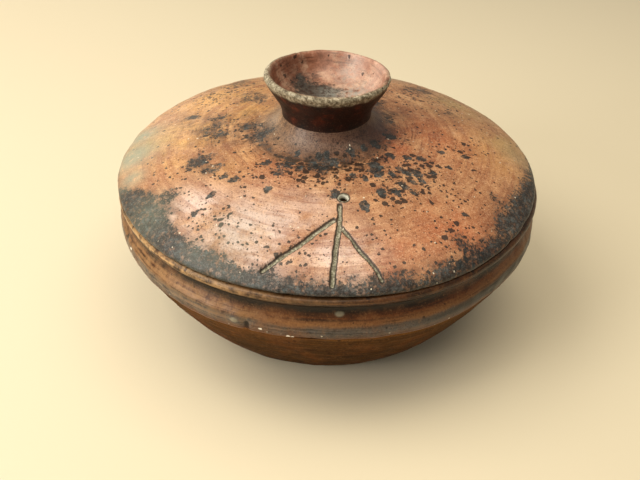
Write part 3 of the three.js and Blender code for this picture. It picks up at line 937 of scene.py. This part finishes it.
def knob_clay():
    """Smoked dark clay outside, darkened further as painted shade under the lip; burnished red-brown inside, with
    painted shade on the cup's left wall, a painted highlight on its right and a painted sheen on its floor; worn
    grey along the lip, lightened as a painted highlight too, and sooty in the cup.
    """
    clay = Clay("knob_clay", KNOB_NECK / MM)
    cloudy = clay.noise(9, 5, 0.65)
    mottle = clay.noise(2.5, 4, 0.7)
    grain = clay.noise(0.8, 3, 0.7)
    # The outside's near-black red-brown is partly painted shade under the lip's overhang.
    outer = clay.ramp(cloudy, (0.35, "120401"), (0.55, "2a0c03"), (0.7, "5a220c"))
    inner = clay.ramp(cloudy, (0.32, "6a371c"), (0.5, "a16b52"), (0.68, "cba68c"))
    streak = clay.streaks(1.2, 20, clay.height, 3)
    inner = clay.tint(inner, clay.rise(streak, 0.5, 0.68), "43200f", 0.55)
    inner = clay.tint(inner, clay.rise(mottle, 0.54, 0.68), "482614", 0.5)
    soot = clay.covered(clay.field("soot"), clay.weigh((cloudy, 0.6), (mottle, 0.6), (grain, -0.2)), 0.1)
    # A painted highlight on the cup's right wall, and painted shade on its left.
    inner = clay.tint(inner, clay.field("pink"), "e2c4b6", 0.4)
    inner = clay.tint(inner, clay.both(clay.field("smoke"), clay.rise(cloudy, 0.3, 0.5)), "2c140c", 0.65)
    inner = clay.tint(inner, soot, clay.ramp(mottle, (0.38, "121413"), (0.6, "3b3f3c")), 0.9)
    # Painted sheen: a pale reflection on the cup's floor.
    bloom = clay.both(clay.field("bloom"), clay.rise(mottle, 0.36, 0.56))
    inner = clay.tint(inner, bloom, "a3aba6", 0.75)
    colour = clay.mix(clay.field("inside"), outer, inner)
    # The lip's worn grey, lightened as a painted highlight too.
    lip_level = clay.weigh((clay.height, 1), (clay.noise(6, 4, 0.65), 4), (clay.field("inside"), -4))
    worn = clay.rise(lip_level, KNOB_TOP / MM - 2.6, KNOB_TOP / MM - 0.4)
    grey = clay.ramp(clay.noise(1.8, 4, 0.75), (0.34, "453c2e"), (0.5, "887e68"), (0.66, "cac0a9"))
    colour = clay.tint(colour, worn, grey, 0.9)
    colour = clay.tint(colour, clay.rise(grain, 0.55, 0.7), "120904", 0.5)
    colour = clay.tint(colour, clay.rise(grain, 0.45, 0.3), "b88a66", 0.14)
    colour = clay.tint(colour, clay.specks(3.4, 0.08), "1a110d", 0.8)
    clay.bump(clay.streaks(0.8, 30, clay.height, 3), 0.06)
    clay.bump(mottle, 0.12)
    clay.bump(grain, 0.1)
    roughness = clay.weigh((clay.between(clay.noise(5, 3), 0.5, 0.7), 1), (clay.field("inside"), -0.26))
    return clay.finish(colour, roughness, specular_ior_level=0.25, coat_weight=0.12, coat_roughness=0.25)


# Camera, lights and floor

def seen_from(azimuth, elevation):
    """The way from the pot towards a place at an azimuth and an elevation in degrees."""
    a, e = math.radians(azimuth), math.radians(elevation)
    return Vector((math.sin(a) * math.cos(e), -math.cos(a) * math.cos(e), math.sin(e)))


def facing(back):
    return back.to_track_quat("Z", "Y").to_matrix().to_4x4()


def add_camera():
    """The photograph's view, measured from the point on the axis 60 mm above the table."""
    back = seen_from(-7.5, 34.4)
    data = bpy.data.cameras.new("camera")
    data.lens, data.sensor_width = 39.4, 36
    data.clip_start = 0.02
    camera = bpy.data.objects.new("camera", data)
    camera.matrix_world = Matrix.Translation(Vector((0, 0, 60 * MM)) + back * 434 * MM) @ facing(back)
    for angle, axis in ((1.65, "Z"), (0.47, "Y"), (-3.01, "X")):
        camera.matrix_world @= Matrix.Rotation(math.radians(angle), 4, axis)
    bpy.context.scene.collection.objects.link(camera)
    bpy.context.scene.camera = camera


def add_light(name, azimuth, elevation, distance, size, watts, hex_code):
    """A square soft light aimed at the pot."""
    back = seen_from(azimuth, elevation)
    data = bpy.data.lights.new(name, "AREA")
    data.size, data.energy, data.color = size, watts, linear(hex_code)[:3]
    lamp = bpy.data.objects.new(name, data)
    lamp.matrix_world = Matrix.Translation(Vector((0, 0, 80 * MM)) + back * distance) @ facing(back)
    bpy.context.scene.collection.objects.link(lamp)


def add_stage():
    mesh = bpy.data.meshes.new("floor")
    reach = 6.0
    corners = [(-reach, -reach, 0), (reach, -reach, 0), (reach, reach, 0), (-reach, reach, 0)]
    mesh.from_pydata(corners, [], [(0, 1, 2, 3)])
    floor = bpy.data.objects.new("floor", mesh)
    material = bpy.data.materials.new("pale_floor")
    material.use_nodes = True
    shader = material.node_tree.nodes["Principled BSDF"]
    shader.inputs["Base Color"].default_value = linear("ddd2b8")
    shader.inputs["Roughness"].default_value = 0.9
    mesh.materials.append(material)
    bpy.context.scene.collection.objects.link(floor)
    world = bpy.data.worlds.new("studio")
    world.use_nodes = True
    sky = world.node_tree.nodes["Background"]
    sky.inputs["Color"].default_value = linear("f4efe6")
    sky.inputs["Strength"].default_value = 0.3
    bpy.context.scene.world = world


bpy.context.scene.view_settings.view_transform = "Standard"
add_camera()
add_light("sky", -82, 54, 1.2, 0.8, 11, "fff6e4")
add_light("window", -66, 20, 1.2, 0.5, 7, "fffaf2")
add_light("horizon", -150, 16, 1.2, 0.7, 2.5, "fff4dc")
add_light("overhead", 60, 80, 1.3, 1.0, 9, "fff1d6")
add_stage()

piece("lid_dome_fired", lid_dome(), "lid", "lid_dome", lid_clay("lid_clay"))
piece("lid_flange_fired", lid_flange(), "lid", "lid_flange", flange_clay())
piece("knob_luting_coil_fired", knob_luting_coil(), "lid", "knob_luting_coil", lid_clay("coil_clay"))
piece("flared_knob_fired", flared_knob(), "lid", "flared_knob", knob_clay())
lower_wall = pot_clay(
    "lower_wall_clay", 0.85, 0.05, (0, "33200b"), (40, "3f280f"), (58, "533516"), (63, "664420"), (64.5, "6e4a2b"),
)
piece("bowl_body_fired", bowl_body(), "pot", "bowl_body", lower_wall)
# The near-black stops from 78.5 to 88 mm are painted shade in the groove under the lip and the lid's painted shadow
# on the lip's top.
shoulder = pot_clay(
    "shoulder_clay", 0.5, 0.3, (63.5, "6e3f22"), (66, "554339"), (68.5, "5a5450"), (71.2, "4e453e"),
    (72.8, "75502f"), (76, "5a2f10"), (78.5, "1c0b01"), (83, "130700"), (85.3, "26140a"), (88, "3c2615"),
)
piece("shoulder_band_fired", shoulder_band(), "pot", "shoulder_band", shoulder)
